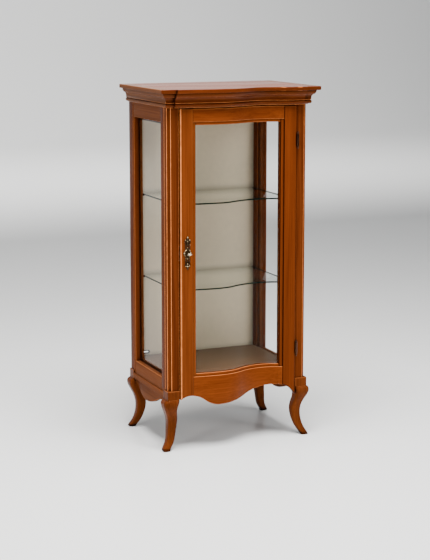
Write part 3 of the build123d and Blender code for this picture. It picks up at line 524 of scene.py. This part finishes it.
def eased(name, material, width, highlight=1.0, segments=3, least=0.003, sharp=28, level=False):
    """A copy of a CAD piece with its long outer arrises rounded, but not where it meets its neighbours."""
    piece = copied(name, "eased")
    low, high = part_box(name)
    near = [trees[n] for n in nodes if n != name and body_of(n) == body_of(name) and all(
        a - box_gap < d and c - box_gap < b for a, b, c, d in zip(low, high, *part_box(n)))]

    def free(edge):
        """Whether both faces of an edge stand clear of the neighbouring pieces."""
        middle = (edge.verts[0].co + edge.verts[1].co) / 2
        for face in edge.link_faces:
            inward = (face.calc_center_median() - middle).normalized()
            spot = middle + inward * probe_in + face.normal * probe_out
            if any(tree.find_nearest(spot, touching)[0] is not None for tree in near):
                return False
        return True

    count = select_where(lambda e: e.is_manifold and e.is_convex and e.calc_length() > least
                         and e.calc_face_angle(0) > radians(sharp) and free(e)
                         and not (level and rise(e) > level_rise), "edges")
    bpy.ops.mesh.bevel(offset=width, segments=segments, profile=0.5, affect="EDGES", clamp_overlap=False)
    # The bevel's faces get a painted highlight, and faces turned the shaded ways painted shade.
    mark_arrises(highlight, name == "door_stile_left", in_shade.get(name, ()))
    dressed(piece, name, material)
    return count


rightward, leftward, downward = (1, 0, 0), (-1, 0, 0), (0, 0, -1)
# Faces turned these ways get painted shade, where they look into the gaps beside the door and its glass.
in_shade = {
    "door_stile_left": (rightward,), "door_stile_right": (rightward, leftward), "door_top_rail": (downward,),
    "post_front_left": (rightward,), "post_front_right": (leftward,)}
polished = {  # the wood, the bevel's width in metres, and how strong its painted highlight is
    "post_front": (post_wood, 0.0022, 1.0), "post_rear": (post_wood, 0.0022, 0.3),
    "leg": (leg_wood, 0.0015, 0.15), "door_stile_left": (upright, 0.0030, 0.12),
    "door_stile_right": (upright_dark, 0.0030, 0.12), "side_apron": (deep, 0.0012, 0.4),
    "side_head_rail": (deep, 0.0012, 0.3), "base_moulding": (deep, 0.0010, 0.6),
    "cornice_side": (side_moulded, 0.0012, 0.7), "cornice_corner": (moulded, 0.0013, 1.0),
    "cornice_front": (moulded, 0.0013, 1.0), "door_top_rail": (across, 0.0020, 0.7),
    "door_bottom_rail": (across, 0.0016, 0.6)}
for start, (material, width, highlight) in polished.items():
    swept = start == "cornice_front"  # its edges are many short ones, along the serpentine
    for name in sorted(n for n in nodes if n.startswith(start)):
        least = 0.0008 if swept else 0.003
        count = eased(name, material, width, highlight, least=least, level=swept)
        print(name, count, "arrises")

# %% Give each CAD piece its finish
def finish(material, *names):
    """Put one finish on the CAD pieces whose names start with these words."""
    count = 0
    for name, piece in nodes.items():
        if name.startswith(names):
            piece.data.materials.clear()
            piece.data.materials.append(material)
            count += 1
    print(material.name, count)


finish(across, "door_beads", "front_top_rail", "top_board")
finish(deep, "side_beads")
finish(inside, "floor_board", "ceiling_board", "front_bottom_rail", "rear_", "corner_blocks")
finish(lining, "back_panel")
finish(pane_glass, "door_glass", "side_glass")
finish(old_brass, "escutcheon")
finish(hinge_brass, "hinge_", "shelf_pins", "strike_plate")
finish(steel, "lock_")
finish(felt, "foot_glides")
finish(rubber, "door_bumpers")
finish(plastic, "cable_grommet")

# %% [markdown]
# ## Lock plate, key and shelves
# The lock plate is cast brass: rounded edges, a raised collar round the keyhole and small swellings on its
# lobes. Each swelling is half of a flattened ball, cut flat at the back and set on the plate's face, which a
# ray finds. Small faces that look up and forward get a painted highlight, and the rest stays dark. The
# key's bow is a bent wire, so the flat CAD ring gets round edges, with a painted highlight on them. Float
# glass looks dark green at its edges only, so the shelves' edge faces have a finish of their own.

# %% Cast relief on the lock plate
def join_to(piece, others):
    """Join other meshes into one piece."""
    bpy.ops.object.select_all(action="DESELECT")
    for other in others:
        other.select_set(True)
    piece.select_set(True)
    bpy.context.view_layer.objects.active = piece
    bpy.ops.object.join()


mm = 0.001


def swelling(x, z, half_x, half_z, height, tilt):
    """Half of a flattened ball on the lock plate."""
    hit, spot, _, _ = nodes["escutcheon"].ray_cast((x, -1, z), (0, 1, 0))
    y = spot.y if hit else plate_low[1] + 0.6 * mm
    ball = place("swelling", "uv_sphere", segments=24, ring_count=12, radius=1, location=(x, y + 0.2 * mm, z))
    ball.scale = (half_x, height, half_z)
    ball.rotation_euler = (0, radians(tilt), 0)
    bpy.ops.object.transform_apply(location=True, rotation=True, scale=True)
    bpy.ops.object.mode_set(mode="EDIT")
    bpy.ops.mesh.select_all(action="SELECT")
    bpy.ops.mesh.bisect(plane_co=(x, y + 0.4 * mm, z), plane_no=(0, 1, 0), use_fill=True, clear_outer=True)
    bm = bmesh.from_edit_mesh(ball.data)
    mark = bm.faces.layers.float.new("arris")
    for face in bm.faces:
        # Faces that look up and forward get a painted highlight; the others almost none.
        painted_glint = face.normal.y < -leans and face.normal.z > 0.15
        face[mark] = 1.0 if painted_glint else 0.05
    bpy.ops.object.mode_set(mode="OBJECT")
    return ball


plate_low, plate_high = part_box("escutcheon")
key_low, key_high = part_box("key")
hole_z = (key_low[2] + key_high[2]) / 2
hole_x = (plate_low[0] + plate_high[0]) / 2
relief_table = (  # the place from the keyhole, the half sizes, the height in millimetres, and the tilt
    (0, 59, 3.2, 8.0, 1.6, 0), (0, -56, 2.9, 7.4, 1.5, 0), (-8.5, 53, 2.4, 2.4, 1.3, 0),
    (8.5, 53, 2.4, 2.4, 1.3, 0),
    (-7.5, -50.5, 2.2, 2.2, 1.2, 0), (7.5, -50.5, 2.2, 2.2, 1.2, 0), (0, 46, 2.6, 4.4, 1.4, 0),
    (0, -44, 2.4, 4.2, 1.3, 0), (0, 20, 1.5, 6.0, 1.3, 0), (0, -24, 1.5, 7.0, 1.3, 0),
    (0, 36, 1.5, 4.6, 1.2, 0),
    (-8.2, 26, 1.1, 12, 1.1, -9), (8.2, 26, 1.1, 12, 1.1, 9), (-8.2, -26, 1.1, 12, 1.1, 9),
    (8.2, -26, 1.1, 12, 1.1, -9), (-13, 0, 3.2, 5.2, 1.3, 0), (13, 0, 3.2, 5.2, 1.3, 0),
    (-9.6, 10, 1.6, 4.6, 1.1, 38), (9.6, 10, 1.6, 4.6, 1.1, -38), (-9.6, -10, 1.6, 4.6, 1.1, -38),
    (9.6, -10, 1.6, 4.6, 1.1, 38))
swellings = [swelling(hole_x + x * mm, hole_z + z * mm, hx * mm, hz * mm, height * mm, tilt)
             for x, z, hx, hz, height, tilt in relief_table]
beside_keyhole, collar_radius = 5.4 * mm, 5.6 * mm
collar_y = nodes["escutcheon"].ray_cast((hole_x + beside_keyhole, -1, hole_z), (0, 1, 0))[1].y
collar = place("collar", "torus", major_radius=collar_radius, minor_radius=1.0 * mm, major_segments=40,
               minor_segments=10, location=(hole_x, collar_y, hole_z), rotation=(radians(90), 0, 0))
bpy.ops.object.transform_apply(location=True, rotation=True, scale=True)
plate = copied("escutcheon", "cast")
count = select_where(lambda e: e.is_manifold and e.is_convex and e.calc_face_angle(0) > radians(50)
                     and all(v.co.y < plate_high[1] for v in e.verts), "edges")
print("plate edges", count)
bpy.ops.mesh.bevel(offset=0.5 * mm, segments=2, affect="EDGES", clamp_overlap=True)
# The plate's bevelled edges get a faint painted highlight.
mark_arrises(0.3)
bpy.ops.object.mode_set(mode="OBJECT")
join_to(plate, swellings + [collar])
dressed(plate, "escutcheon", old_brass)

# %% Round the key's wire and polish the shelves' edges
print("key edges", eased("key", key_brass, 1.1 * mm, segments=3, least=0.1 * mm, sharp=50))
for side in ("post", "door"):
    for place_of in ("upper", "lower"):
        name = f"hinge_leaf_{side}_{place_of}"
        print(name, eased(name, hinge_brass, 0.25 * mm, segments=2, least=2 * mm, sharp=50))
for name in ("shelf_lower", "shelf_upper"):
    shelf = copied(name, "polished")
    select_where(lambda e: e.is_convex and e.calc_face_angle(0) > radians(50) and rise(e) < 0.1 * mm, "edges")
    bpy.ops.mesh.bevel(offset=0.7 * mm, segments=2, affect="EDGES", clamp_overlap=False)
    dressed(shelf, name, shelf_glass)
    shelf.data.materials.append(shelf_edge)
    # The rear edge is left clear: it is hardly seen through the glass in front of it.
    rim = [face for face in shelf.data.polygons if abs(face.normal.z) < 0.98 and face.normal.y < 0.5]
    for face in rim:
        face.material_index = 1
    print(name, len(rim), "faces on its edges")
